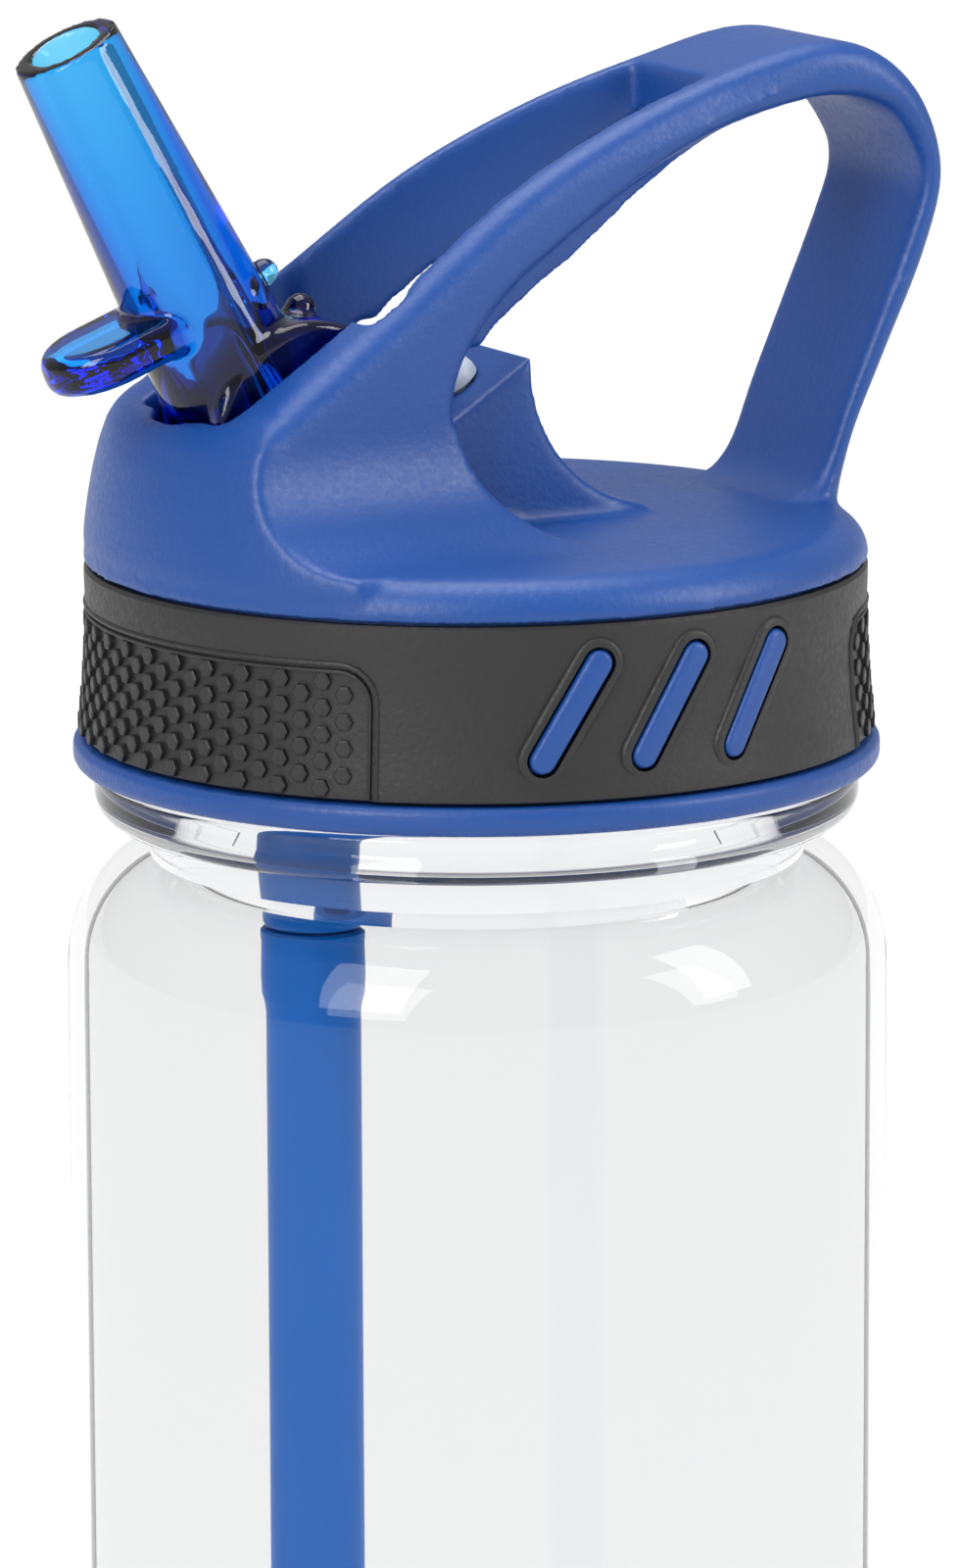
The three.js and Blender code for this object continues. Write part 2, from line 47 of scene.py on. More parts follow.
BODY_R = 43
NECK_R = 34.3
NECK_BORE_R = 31.7
BODY_WALL = 2.2
BASE_THICKNESS = 3.2
FOOT_CORNER_R = 3.5
INNER_CORNER_R = 6
SHOULDER_Z = 152.5
SHOULDER_RISE = 12
MOUTH_Z = 193.5
RING_R = 40
RING_BOTTOM_Z = 168.1
RING_TOP_Z = 173.5
THREAD_PITCH = 5
THREAD_TURNS = 1.25
THREAD_BEAD_R = 1.35
NECK_THREAD_R = 34.75
NECK_THREAD_START_Z = 180.6
LID_THREAD_R = 36.45
LID_THREAD_START_Z = 178.1

LID_BORE_R = 36.9
FLANGE_R = 42.15
FLANGE_BOTTOM_Z = 173.9
FLANGE_TOP_Z = 176.9
BAND_SEAT_R = 39.4
DOME_BOTTOM_Z = 195.4
DOME_R = 40.9
TOP_Z = 199.6
PLATE_UNDER_Z = 196.4

LIP_Z = 212.4
RAIL_HALF_W = 11
RAIL_FLARE = 0.11
FLARE_START_X = 25
CHANNEL_END_X = 23.3
CHANNEL_HALF_W = 7.4
POCKET_REAR_X = -14.5
POCKET_FRONT_X = -19
POCKET_HALF_W = 12.8
SOCKET_HALF_W = 9
SCOOP_R = 12

BLOCK_HALF_W = 7.6
BLOCK_SLOPE = math.tan(math.radians(33))
BLOCK_TOP_X = 2.8
BLOCK_TOP_Z = 217
VENT_X = -2.5

PIVOT_X = -22.5
PIVOT_Z = 211.5
DRUM_R = 11
DRUM_HALF_W = 7.6
TRUNNION_R = 3
TRUNNION_END_Y = 12.5
TUBE_LEAN = math.radians(27.8)
TIP_X = -46.7
TIP_Z = 251.3
TUBE_TIP_R = 5.6
TUBE_BASE_R = 8.2
TUBE_BORE_R = 3.65
TUBE_LENGTH = 50
KNOBS = [((-20.3, 0, 222.7), 1.7), ((-24.4, 0, 226.8), 1.5)]
TAB_HALF_W = 6.4
TAB_REACH = 14.2
TAB_THICKNESS = 4.4
TAB_TILT = math.radians(21)
TAB_PLACE = (-35.6, 0, 222.4)

PLAY = 0.5

STRAW_X = -19.4
BOSS_R = 7.4
BOSS_BOTTOM_Z = 186
STRAW_R = 4.95
STRAW_BORE_R = 4.15
STRAW_TOP_Z = 158
STRAW_END_Z = 8
ADAPTER_R = 5.15
ADAPTER_TOP_Z = 197.2
SPIGOT_R = 3.85
PORT_BORE_R = 3.1
SEAL_TOP_Z = 202.5

BAND_INNER_R = 39.7
BAND_MID_R = 41
BAND_BOTTOM_Z = 177.2
BAND_TOP_Z = 195.1
BAND_PROFILE = [(BAND_BOTTOM_Z, 41.5), (182.4, 40.95), (188, 40.62), (BAND_TOP_Z, 40.85)]
RIB_WIDTH = 2.7
RIB_LENGTH = 11.3
RIB_MID_Z = 186.35
RIB_TILT = math.radians(31)
RIB_STEP = math.radians(15)
RIB_FACE_R = 41.5
PANEL_HALF_W = math.radians(47.5) * BAND_MID_R
PANEL_TOP_Z = 191
PANEL_DEPTH = 0.35
PANEL_CORNER = 4
LINE_START_Z = 177.5
STUD_PITCH = 2.7
STUD_R = 0.98
STUD_HEIGHT = 0.5


# ------------------------------------------------------------------ shader maths

class Graph:
    """One material's node tree, with its Principled shader."""

    def __init__(self, name):
        self.material = bpy.data.materials.new(name)
        self.material.use_nodes = True
        self.tree = self.material.node_tree
        self.shader = self.tree.nodes["Principled BSDF"]

    def feed(self, socket, value):
        """Links another node's output to a socket, or sets a plain value."""
        if isinstance(value, bpy.types.NodeSocket):
            self.tree.links.new(value, socket)
        else:
            socket.default_value = value

    def node(self, kind, inputs, output=0, **settings):
        made = self.tree.nodes.new(kind)
        for key, setting in settings.items():
            setattr(made, key, setting)
        for key, value in inputs.items():
            self.feed(made.inputs[key], value)
        return made.outputs[output]

    def place(self, scale=(1, 1, 1)):
        coords = self.node("ShaderNodeTexCoord", {}, output=3)
        return self.node("ShaderNodeMapping", {0: coords, 3: scale})

    def noise(self, scale, detail=3.0, roughness=0.5, at=None):
        inputs = {
            "Vector": at or self.place(), "Scale": scale, "Detail": detail, "Roughness": roughness,
        }
        return self.node("ShaderNodeTexNoise", inputs, noise_dimensions="3D")

    def remap(self, value, low, high, to_low, to_high):
        inputs = {0: value, 1: low, 2: high, 3: to_low, 4: to_high}
        return self.node("ShaderNodeMapRange", inputs)

    def mix(self, factor, first, second):
        inputs = {0: factor, 6: first, 7: second}
        return self.node("ShaderNodeMix", inputs, output=2, data_type="RGBA")

    def bump(self, height, strength, distance):
        inputs = {"Height": height, "Strength": strength, "Distance": distance}
        return self.node("ShaderNodeBump", inputs)

    def set(self, **sockets):
        for key, value in sockets.items():
            self.feed(self.shader.inputs[key.replace("_", " ")], value)
        return self.material


def clear_wall():
    g = Graph("clear_copolyester_wall")
    return g.set(
        Base_Color=(0.87, 0.872, 0.875, 1),
        Roughness=0.0,
        Transmission_Weight=1.0,
        IOR=1.012,
        Coat_Weight=0.4,
        Coat_Roughness=0.03,
    )


def clear_rim():
    g = Graph("clear_copolyester_rim")
    return g.set(
        Base_Color=(0.93, 0.935, 0.95, 1),
        Roughness=0.0,
        Transmission_Weight=1.0,
        IOR=1.4,
    )


def blue_plastic():
    g = Graph("blue_polypropylene")
    grain = g.noise(1500.0, 3.0, 0.6)
    cloud = g.noise(60.0, 3.0)
    colour = g.mix(cloud, (0.004, 0.052, 0.24, 1), (0.007, 0.062, 0.28, 1))
    return g.set(
        Base_Color=colour,
        Roughness=g.remap(grain, 0.3, 0.7, 0.36, 0.5),
        Normal=g.bump(grain, 0.3, 0.0002),
    )


def black_rubber():
    g = Graph("black_rubber")
    grain = g.noise(1400.0, 3.0, 0.6)
    cloud = g.noise(80.0, 3.0)
    return g.set(
        Base_Color=g.mix(cloud, (0.010, 0.010, 0.0105, 1), (0.017, 0.017, 0.0175, 1)),
        Roughness=g.remap(grain, 0.3, 0.7, 0.42, 0.58),
        Normal=g.bump(grain, 0.4, 0.0002),
    )


def spout_plastic():
    g = Graph("clear_blue_spout")
    g.set(Base_Color=(0.8, 0.95, 1.0, 1), Roughness=0.02, Transmission_Weight=1.0, IOR=1.46)
    tint = g.node("ShaderNodeVolumeAbsorption", {"Color": (0.0, 0.743, 0.949, 1), "Density": 700})
    g.feed(g.tree.nodes["Material Output"].inputs["Volume"], tint)
    return g.material


def straw_plastic():
    g = Graph("blue_straw")
    streak = g.noise(9.0, 4.0, 0.6, g.place(scale=(30, 30, 3)))
    return g.set(
        Base_Color=g.mix(streak, (0.0, 0.10, 0.42, 1), (0.0, 0.125, 0.50, 1)),
        Roughness=g.remap(streak, 0.3, 0.7, 0.28, 0.4),
        Specular_IOR_Level=0.12,
    )


def silicone_rubber():
    g = Graph("milky_silicone")
    cloud = g.noise(200.0, 2.0)
    return g.set(
        Base_Color=g.mix(cloud, (0.50, 0.58, 0.70, 1), (0.62, 0.68, 0.78, 1)),
        Roughness=g.remap(cloud, 0.3, 0.7, 0.3, 0.42),
        Transmission_Weight=0.3,
    )


CLEAR_WALL = clear_wall()
CLEAR_RIM = clear_rim()
BLUE = blue_plastic()
RUBBER = black_rubber()
SPOUT_BLUE = spout_plastic()
STRAW_BLUE = straw_plastic()
SILICONE = silicone_rubber()


# ------------------------------------------------------------------ modelling steps

def points_mm(pairs, plane):
    """Places in metres of [a, b] pairs given in a plane: "XZ" or "XY"."""
    if plane == "XZ":
        return [(a * MM, 0, b * MM) for a, b in pairs]
    return [(a * MM, b * MM, 0) for a, b in pairs]


def draw_wire(name, places):
    """One vertex extruded from place to place; the object stays in edit mode."""
    bpy.ops.object.select_all(action="DESELECT")
    bpy.ops.mesh.primitive_plane_add(size=MM)
    piece = bpy.context.object
    piece.name = name
    bpy.ops.object.mode_set(mode="EDIT")
    bpy.ops.mesh.select_mode(type="VERT")
    bpy.ops.mesh.select_all(action="SELECT")
    bpy.ops.mesh.merge(type="CENTER")
    bpy.ops.transform.translate(value=places[0])
    for here, there in zip(places, places[1:]):
        step = [b - a for a, b in zip(here, there)]
        bpy.ops.mesh.extrude_region_move(TRANSFORM_OT_translate={"value": step})
    bpy.ops.mesh.select_all(action="SELECT")
    return piece


def merge_and_close():
    bpy.ops.mesh.select_all(action="SELECT")
    bpy.ops.mesh.remove_doubles(threshold=MERGE_DISTANCE)
    bpy.ops.mesh.normals_make_consistent(inside=False)
    bpy.ops.object.mode_set(mode="OBJECT")


def spun(name, profile, steps=160, ring=False):
    """Solid of revolution about Z from [radius, height] pairs."""
    pairs = [*profile, profile[0]] if ring else profile
    piece = draw_wire(name, points_mm(pairs, "XZ"))
    bpy.ops.mesh.spin(steps=steps, angle=2 * math.pi, center=(0, 0, 0), axis=(0, 0, 1))
    merge_and_close()
    return piece


def slab(name, outline, plane, low, high):
    """An outline in XZ pulled along Y, or in XY pulled along Z, from low to high."""
    along = Vector((0, 1, 0)) if plane == "XZ" else Vector((0, 0, 1))
    shift = along * low * MM
    places = [Vector(place) + shift for place in points_mm([*outline, outline[0]], plane)]
    piece = draw_wire(name, places)
    bpy.ops.mesh.remove_doubles(threshold=MERGE_DISTANCE)
    bpy.ops.mesh.select_all(action="SELECT")
    bpy.ops.mesh.edge_face_add()
    pull = along * (high - low) * MM
    bpy.ops.mesh.extrude_region_move(TRANSFORM_OT_translate={"value": pull})
    merge_and_close()
    return piece


def rod(name, start, end, start_r, end_r, sides=64):
    """Round bar, or cone, between two places in millimetres."""
    start, end = Vector(start) * MM, Vector(end) * MM
    bpy.ops.object.select_all(action="DESELECT")
    bpy.ops.mesh.primitive_cone_add(
        vertices=sides,
        radius1=start_r * MM,
        radius2=end_r * MM,
        depth=(end - start).length,
        location=(start + end) / 2,
        rotation=(end - start).to_track_quat("Z", "Y").to_euler(),
    )
    piece = bpy.context.object
    piece.name = name
    settle(piece)
    return piece


def pivot_bar(name, radius, half_width, sides=64):
    """Round bar on the spout's turning axis."""
    ends = [(PIVOT_X, y, PIVOT_Z) for y in (-half_width, half_width)]
    return rod(name, *ends, radius, radius, sides)


def straw_bar(name, radius, low, high):
    """Upright round bar on the straw's axis."""
    return rod(name, (STRAW_X, 0, low), (STRAW_X, 0, high), radius, radius)


def box(name, low, high):
    low, high = Vector(low) * MM, Vector(high) * MM
    bpy.ops.object.select_all(action="DESELECT")
    bpy.ops.mesh.primitive_cube_add(size=1, location=(low + high) / 2)
    piece = bpy.context.object
    piece.name = name
    piece.scale = high - low
    settle(piece)
    return piece


def ball(name, place, radius):
    bpy.ops.object.select_all(action="DESELECT")
    bpy.ops.mesh.primitive_uv_sphere_add(
        segments=32, ring_count=16, radius=radius * MM, location=Vector(place) * MM
    )
    piece = bpy.context.object
    piece.name = name
    settle(piece)
    return piece


def only(piece):
    bpy.ops.object.select_all(action="DESELECT")
    piece.select_set(True)
    bpy.context.view_layer.objects.active = piece


def settle(piece):
    """Puts a piece's place, turn and scale into its mesh."""
    only(piece)
    bpy.ops.object.transform_apply(location=True, rotation=True, scale=True)


def edit_faces(piece, facing):
    """Opens a piece for editing with only the faces that point one way selected."""
    only(piece)
    bpy.ops.object.mode_set(mode="EDIT")
    bpy.ops.mesh.select_mode(type="FACE")
    bpy.ops.mesh.select_all(action="DESELECT")
    bpy.ops.object.mode_set(mode="OBJECT")
    for face in piece.data.polygons:
        face.select = face.normal.dot(facing) > 0.9
    bpy.ops.object.mode_set(mode="EDIT")


def modify(piece, kind, **settings):
    only(piece)
    modifier = piece.modifiers.new(kind.title(), kind)
    for key, value in settings.items():
        setattr(modifier, key, value)
    bpy.ops.object.modifier_apply(modifier=modifier.name)


def round_edges(piece, width, segments=4, angle=45):
    modify(
        piece, "BEVEL", width=width * MM, segments=segments, limit_method="ANGLE",
        angle_limit=math.radians(angle), use_clamp_overlap=False,
    )


def combine(piece, tool, operation):
    """Joins, cuts or intersects a piece with a tool, which is used up."""
    modify(piece, "BOOLEAN", object=tool, operation=operation, solver="EXACT")
    bpy.data.objects.remove(tool)


def join(first, *others):
    only(first)
    for other in others:
        other.select_set(True)
    bpy.ops.object.join()
    return first


def soften(piece, voxel, passes):
    """Melts a piece into one skin and rounds its edges as a mould does."""
    modify(piece, "REMESH", mode="VOXEL", voxel_size=voxel * MM)
    modify(piece, "SMOOTH", factor=0.5, iterations=passes)


def copy_of(piece, name):
    made = piece.copy()
    made.data = piece.data.copy()
    made.name = name
    bpy.context.scene.collection.objects.link(made)
    return made


def hand_over(piece, material, body, slot, *nodes, angle=40):
    """Finish, body and CAD nodes of a finished piece."""
    only(piece)
    bpy.ops.object.shade_smooth_by_angle(angle=math.radians(angle))
    piece.data.materials.clear()
    piece.data.materials.append(material)
    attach(piece, body)
    if nodes:
        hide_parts(*nodes)


def bead(name, places, radius, resolution, widths=None):
    """Round bead along a line of places in metres, closed at both ends."""
    curve = bpy.data.curves.new(name, "CURVE")
    curve.dimensions = "3D"
    curve.bevel_depth = radius * MM
    curve.bevel_resolution = resolution
    curve.use_fill_caps = True
    spline = curve.splines.new("POLY")
    spline.points.add(len(places) - 1)
    for i, place in enumerate(places):
        spline.points[i].co = (*place, 1)
        spline.points[i].radius = widths[i] if widths else 1
    piece = bpy.data.objects.new(name, curve)
    bpy.context.scene.collection.objects.link(piece)
    only(piece)
    bpy.ops.object.convert(target="MESH")
    return bpy.context.object


def arc(centre_x, centre_y, radius, start, end, steps):
    """Points of an arc, angles in degrees."""
    points = []
    for i in range(steps + 1):
        angle = math.radians(start + (end - start) * i / steps)
        points.append((centre_x + radius * math.cos(angle), centre_y + radius * math.sin(angle)))
    return points


def smooth_line(points, steps):
    """Points along a smooth line through the given ones."""
    made = []
    last = len(points) - 1
    for i in range(steps + 1):
        where = last * i / steps
        k = min(int(where), last - 1)
        t = where - k
        p0, p1 = points[max(k - 1, 0)], points[k]
        p2, p3 = points[k + 1], points[min(k + 2, last)]
        point = []
        for a, b, c, d in zip(p0, p1, p2, p3):
            v0, v1 = (c - a) / 2, (d - b) / 2
            cubic = (2 * b - 2 * c + v0 + v1) * t ** 3
            square = (-3 * b + 3 * c - 2 * v0 - v1) * t ** 2
            point.append(cubic + square + v0 * t + b)
        made.append(tuple(point))
    return made


# ------------------------------------------------------------------ bottle

def bottle():
    shoulder_in = BODY_R - NECK_R
    inner_in = BODY_R - BODY_WALL - NECK_BORE_R
    outer_shoulder, inner_shoulder = [], []
    steps = 18
    for i in range(steps + 1):
        turn = math.pi / 2 * i / steps
        across, up = math.cos(turn), math.sin(turn)
        outer_shoulder.append((NECK_R + shoulder_in * across, SHOULDER_Z + SHOULDER_RISE * up))
        inner_shoulder.insert(0, (
            NECK_BORE_R + inner_in * across, SHOULDER_Z + (SHOULDER_RISE - BODY_WALL) * up,
        ))
    base_t, corner, inner_corner = BASE_THICKNESS, FOOT_CORNER_R, INNER_CORNER_R
    profile = [
        (0, 0), (8.6, 0), (9.4, 0.3), (10, 0.8), (32, 0.8), (32.6, 0.3), (33.4, 0),
        *arc(BODY_R - corner, corner, corner, -90, 0, 10),
        *outer_shoulder,
        (NECK_R, RING_BOTTOM_Z - 1), (NECK_R + 0.3, RING_BOTTOM_Z - 0.3),
        (NECK_R + 1, RING_BOTTOM_Z),
        *arc(RING_R - 3, RING_BOTTOM_Z + 3, 3, -90, 0, 8),
        (RING_R, RING_TOP_Z - 0.9),
        *arc(RING_R - 0.6, RING_TOP_Z - 0.6, 0.6, 0, 90, 4),
        (NECK_R + 0.5, RING_TOP_Z), (NECK_R, RING_TOP_Z + 0.5),
        (NECK_R, MOUTH_Z - 0.8),
        *arc(NECK_R - 0.8, MOUTH_Z - 0.8, 0.8, 0, 90, 4),
        *arc(NECK_BORE_R + 0.8, MOUTH_Z - 0.8, 0.8, 90, 180, 4),
        *inner_shoulder,
        *arc(
            BODY_R - BODY_WALL - inner_corner, base_t + inner_corner, inner_corner, 0, -90, 10,
        ),
        (0, base_t),
    ]
    body = spun("bottle_clear", profile, 192)
    thread = thread_bead("bottle_thread", NECK_THREAD_R, NECK_THREAD_START_Z)
    hand_over(body, CLEAR_WALL, "bottle", "clear_plastic", "bottle_body", angle=30)
    body.data.materials.append(CLEAR_RIM)
    for face in body.data.polygons:
        face.material_index = int(face.center.z > (SHOULDER_Z + SHOULDER_RISE) * MM)
    hand_over(thread, CLEAR_RIM, "bottle", "clear_plastic")


def thread_bead(name, path_r, start_z):
    """Round bead that climbs round the neck or the lid's bore, with tapered ends."""
    steps = 90
    places, widths = [], []
    for i in range(steps + 1):
        turn = THREAD_TURNS * i / steps
        angle = 2 * math.pi * turn
        z = start_z + turn * THREAD_PITCH
        places.append(Vector((path_r * math.cos(angle), path_r * math.sin(angle), z)) * MM)
        widths.append(min(1, 0.3 + 0.12 * min(i, steps - i)))
    return bead(name, places, THREAD_BEAD_R, 3, widths)


# ------------------------------------------------------------------ lid

LOOP_OUTSIDE = [
    (-37.5, LIP_Z), (-33.5, 213.4), (-27, 217.4), (-15.5, 225.2), (-2, 234.5), (12, 241.1),
    (26, 245.6), (36, 247.7), (43, 246.3), (48.4, 241.3), (50.9, 233.5), (48.8, 225),
    (44, 214.6), (40.4, 206.8), (38.6, 201),
]
LOOP_INSIDE = [
    (3, 199.3), (-2.6, 200.9), (-7.4, 205.4), (-9.7, 212), (-8.4, 218.2), (-3.6, 224.4),
    (4.5, 230), (14, 235.5), (24, 239.5), (35.5, 242), (43.2, 240.8), (47, 236.6),
    (48.2, 232.6), (46.4, 227), (42, 216.9), (38.8, 209.6), (36.4, 203.6), (33.8, 200.5),
    (30, 199.3),
]
FRONT_WALL = [
    (DOME_R, TOP_Z - 3), (40.75, 199), (40.35, 202), (39.8, 205), (39.1, 208), (38.2, 210.6),
    (37, 212.4), (35.6, 213.6), (34, 214.4), (34, 230),
]


def widen_forwards(piece):
    """Flares a piece's width towards the front, as the rails do."""
    for vertex in piece.data.vertices:
        ahead = max(0, FLARE_START_X * MM - vertex.co.x)
        half = RAIL_HALF_W * MM
        vertex.co.y *= (half + RAIL_FLARE * ahead) / half


def hand_hole():
    """The hand opening, opened out where it meets the rails' outer sides."""
    straight, flare, growth = 9.8, 2.4, 1.085
    centre = (20 * MM, 0, 221 * MM)
    hole = slab("hole", smooth_line(LOOP_INSIDE, 90), "XZ", -straight, straight)
    for side in (-1, 1):
        edit_faces(hole, Vector((0, side, 0)))
        pull = (0, side * flare * MM, 0)
        bpy.ops.mesh.extrude_region_move(TRANSFORM_OT_translate={"value": pull})
        bpy.ops.transform.resize(value=(growth, 1, growth), center_override=centre)
        bpy.ops.object.mode_set(mode="OBJECT")
    return hole


def rail_lips():
    """Lips under the inner half of each rail's thickness, which fade out towards the rear."""
    depth, overlap, half = 3.2, 0.4, CHANNEL_HALF_W + 1.8
    fade_from, fade_length = 25, 18

    def depth_at(x):
        return depth * min(1, max(0, (fade_from - x) / fade_length))

    line = smooth_line(LOOP_INSIDE, 90)
    lips = slab("rail_lips", [(x, z + overlap) for x, z in line], "XZ", -half, half)
    under = [(x, z - depth_at(x)) for x, z in line]
    combine(lips, slab("under", under, "XZ", -20, 20), "DIFFERENCE")
    reach = box("reach", (-8, -20, BLOCK_TOP_Z + 2), (CHANNEL_END_X, 20, 250))
    combine(lips, reach, "INTERSECT")
    return lips


def loop_and_rails():
    foot_z = TOP_Z - 2
    outside = [(-45, foot_z), (-45, LIP_Z), *smooth_line(LOOP_OUTSIDE, 84), (38.2, foot_z)]
    loop = slab("cap_top", outside, "XZ", -RAIL_HALF_W, RAIL_HALF_W)
    round_edges(loop, 2.6, 5, 50)
    combine(loop, hand_hole(), "DIFFERENCE")
    combine(loop, rail_lips(), "UNION")
    widen_forwards(loop)
    return loop


def scoop(side):
    """Hollow fillet from a rail's outer side down to the lid's top."""
    hollow = arc(SCOOP_R, SCOOP_R, SCOOP_R, 270, 180, 14)
    outline = [(-4, -2), (SCOOP_R, -2), *hollow, (-4, SCOOP_R)]
    half_length = 29
    start = Vector((-half_length * MM, 0, 0))
    places = [Vector((0, y * side, z)) * MM + start for y, z in [*outline, outline[0]]]
    piece = draw_wire("scoop", places)
    bpy.ops.mesh.remove_doubles(threshold=MERGE_DISTANCE)
    bpy.ops.mesh.select_all(action="SELECT")
    bpy.ops.mesh.edge_face_add()
    pull = (2 * half_length * MM, 0, 0)
    bpy.ops.mesh.extrude_region_move(TRANSFORM_OT_translate={"value": pull})
    merge_and_close()
    middle_x = -18
    half = RAIL_HALF_W + RAIL_FLARE * (FLARE_START_X - middle_x)
    piece.rotation_euler = (0, 0, -side * math.atan(RAIL_FLARE))
    piece.location = Vector((middle_x, side * half, TOP_Z)) * MM
    settle(piece)
    return piece


def channel_plan():
    def half_at(x):
        return CHANNEL_HALF_W + RAIL_FLARE * (CHANNEL_END_X - x)

    nose = arc(PIVOT_X - 4.5, 0, SOCKET_HALF_W, -90, -270, 20)
    return [
        (CHANNEL_END_X, CHANNEL_HALF_W), (CHANNEL_END_X, -CHANNEL_HALF_W),
        (POCKET_REAR_X, -half_at(POCKET_REAR_X)), (POCKET_REAR_X, -POCKET_HALF_W),
        (POCKET_FRONT_X, -POCKET_HALF_W), (POCKET_FRONT_X, -SOCKET_HALF_W),
        *nose,
        (POCKET_FRONT_X, SOCKET_HALF_W), (POCKET_FRONT_X, POCKET_HALF_W),
        (POCKET_REAR_X, POCKET_HALF_W), (POCKET_REAR_X, half_at(POCKET_REAR_X)),
    ]


def slope_z(x):
    return BLOCK_TOP_Z - (BLOCK_TOP_X - x) * BLOCK_SLOPE


def vent_block():
    front_x = POCKET_FRONT_X + 1
    rear = arc(18.5, 216, 15.7, 263, 180, 20)
    crest = (BLOCK_TOP_X, BLOCK_TOP_Z)
    outline = [(front_x, TOP_Z - 2), *rear, crest, (front_x, slope_z(front_x))]
    return slab("vent_block", outline, "XZ", -BLOCK_HALF_W, BLOCK_HALF_W)


def seat_floor():
    front_x, rear_x = POCKET_FRONT_X + 1, -9.6
    outline = [
        (front_x, TOP_Z - 2), (rear_x, TOP_Z - 2), (rear_x, slope_z(rear_x)),
        (front_x, slope_z(front_x)),
    ]
    half = POCKET_HALF_W + 0.4
    return slab("seat_floor", outline, "XZ", -half, half)


def along_tube(distance):
    """Place on the spout tube's axis, measured down from its tip."""
    return (
        TIP_X + distance * math.sin(TUBE_LEAN), 0, TIP_Z - distance * math.cos(TUBE_LEAN),
    )


def vent_place(height):
    """Place on the vent valve's axis, at a height over the sloping face."""
    slope = math.atan(BLOCK_SLOPE)
    return (VENT_X - height * math.sin(slope), 0, slope_z(VENT_X) + height * math.cos(slope))


def cap_top():
    top = loop_and_rails()
    front = box("front", (-60, -60, TOP_Z - 2.4), (-11, 60, 229))
    wall = spun("wall", [(0, TOP_Z - 3), *FRONT_WALL, (0, 230)], 144)
    combine(front, wall, "DIFFERENCE")
    for side in (-1, 1):
        fillet = scoop(side)
        combine(fillet, slab("hole", smooth_line(LOOP_INSIDE, 90), "XZ", -40, 40), "DIFFERENCE")
        combine(top, fillet, "UNION")
    combine(top, front, "DIFFERENCE")
    combine(top, slab("channel", channel_plan(), "XY", TOP_Z + 0.6, 260), "DIFFERENCE")
    combine(top, vent_block(), "UNION")
    combine(top, seat_floor(), "UNION")
    rim = arc(DOME_R - 4, TOP_Z - 4, 4, 0, 90, 10)
    disc = spun("disc", [
        (0, PLATE_UNDER_Z), (LID_BORE_R, PLATE_UNDER_Z), (LID_BORE_R, DOME_BOTTOM_Z),
        (DOME_R, DOME_BOTTOM_Z), *rim, (0, TOP_Z),
    ], 144)
    combine(top, disc, "UNION")
    combine(top, straw_bar("boss", BOSS_R, BOSS_BOTTOM_Z, TOP_Z - 1), "UNION")
    groove = pivot_bar("groove", DRUM_R + 2.7, 2.4)
    combine(groove, box("low", (-60, -60, 190), (60, 60, 204)), "DIFFERENCE")
    tube_ends = along_tube(TUBE_LENGTH), along_tube(0)
    cuts = [
        pivot_bar("drum_seat", DRUM_R + PLAY, SOCKET_HALF_W),
        groove,
        pivot_bar("trunnion_seat", TRUNNION_R + 0.3, TRUNNION_END_Y + 0.4),
        rod("tube_room", *tube_ends, TUBE_BASE_R + PLAY, TUBE_TIP_R + PLAY),
        straw_bar("straw_hole", ADAPTER_R + 0.3, BOSS_BOTTOM_Z - 2, PIVOT_Z - 5),
        box("vent_well", (-5, -5, PLATE_UNDER_Z - 2), (2, 5, 207)),
        rod("vent_hole", vent_place(-9), vent_place(4), 2.1, 2.1),
    ]
    for cut in cuts:
        combine(top, cut, "DIFFERENCE")
    soften(top, LID_VOXEL, 9)
    hand_over(top, BLUE, "lid", "blue_plastic", "cap_shell", angle=60)


def cap_skirt():
    skirt = spun("cap_skirt", [
        (LID_BORE_R, DOME_BOTTOM_Z + 0.6), (LID_BORE_R, FLANGE_BOTTOM_Z + 0.5),
        (LID_BORE_R + 0.5, FLANGE_BOTTOM_Z),
        *arc(FLANGE_R - 1.2, FLANGE_BOTTOM_Z + 1.2, 1.2, -90, 0, 5),
        *arc(FLANGE_R - 0.9, FLANGE_TOP_Z - 0.9, 0.9, 0, 90, 5),
        (BAND_SEAT_R, FLANGE_TOP_Z), (BAND_SEAT_R, DOME_BOTTOM_Z + 0.6),
    ], 192, ring=True)
    hand_over(skirt, BLUE, "lid", "blue_plastic")
    thread = thread_bead("cap_thread", LID_THREAD_R, LID_THREAD_START_Z)
    hand_over(thread, BLUE, "lid", "blue_plastic")


def rib_azimuths():
    return [side * math.pi / 2 + step * RIB_STEP for side in (-1, 1) for step in (-1, 0, 1)]


def pill_outline(width, length):
    """Slanted outline with round ends, at the ribs' height."""
    half = length / 2
    pairs = arc(0, half, width / 2, 0, 180, 10) + arc(0, -half, width / 2, 180, 360, 10)
    cos, sin = math.cos(-RIB_TILT), math.sin(-RIB_TILT)
    return [(x * cos - z * sin, x * sin + z * cos + RIB_MID_Z) for x, z in pairs]


def turned_copy(piece, name, azimuth):
    made = copy_of(piece, name)
    made.rotation_euler = (0, 0, azimuth + math.pi / 2)
    settle(made)
    return made


def cap_ribs():
    outline = pill_outline(RIB_WIDTH, RIB_LENGTH)
    pattern = slab("rib", outline, "XZ", -RIB_FACE_R, -LID_BORE_R - 1)
    round_edges(pattern, 0.55, 3, 50)
    for count, azimuth in enumerate(rib_azimuths(), 1):
        rib = turned_copy(pattern, f"cap_rib_{count}", azimuth)
        hand_over(rib, BLUE, "lid", "blue_plastic")
    bpy.data.objects.remove(pattern)


# ------------------------------------------------------------------ grip band

